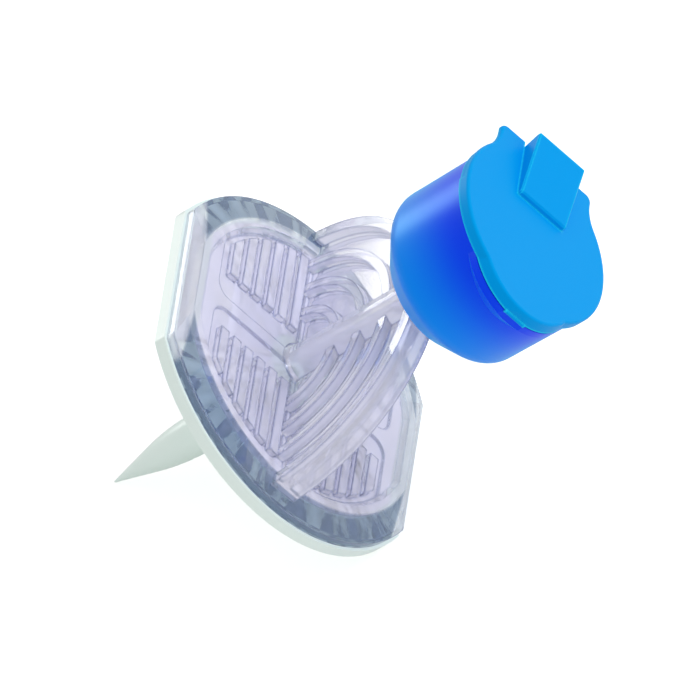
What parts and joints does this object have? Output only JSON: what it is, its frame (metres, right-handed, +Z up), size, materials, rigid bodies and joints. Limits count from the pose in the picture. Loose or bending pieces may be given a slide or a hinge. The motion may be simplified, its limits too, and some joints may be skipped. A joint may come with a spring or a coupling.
{
  "type": "dispensing spike",
  "caption": "Vented dispensing spike for drug vials: hollow spike under a two-flat grip plate with a built-in air filter, half-round upright grip and a luer lock port in a hinged flip cap.",
  "frame": {"origin": "centre of the bounding box's bottom face, on the table that the part lies on", "axes": "+Z up; +X level, towards the cap's end of the spike's axis, which leans up from the tip; +Y level, along the flat of the grip plate that touches the table, towards the lid's thumb tab"},
  "size_m": [0.0486, 0.0366, 0.0399],
  "materials": {
    "spike_plastic": "milky translucent, whitish green, smooth moulded",
    "membrane": "matt white membrane",
    "clear_plastic": "clear with a faint lilac tint, polished",
    "cap_plastic": "bright blue, semi-gloss",
    "lid_plastic": "bright blue, semi-gloss"
  },
  "bodies": {
    "unit": {"spike_base": "spike_plastic", "air_filter": "membrane", "grip_housing": "clear_plastic", "cap_body": "cap_plastic"},
    "lid": {"cap_lid": "lid_plastic"}
  },
  "joints": [
    {"name": "lid_hinge", "type": "hinge", "parent": "unit", "child": "lid", "pos_m": [0.01776, -0.01075, 0.0318], "axis": [0.6029, 0, -0.7978], "range_deg": [0, 180]}
  ]
}
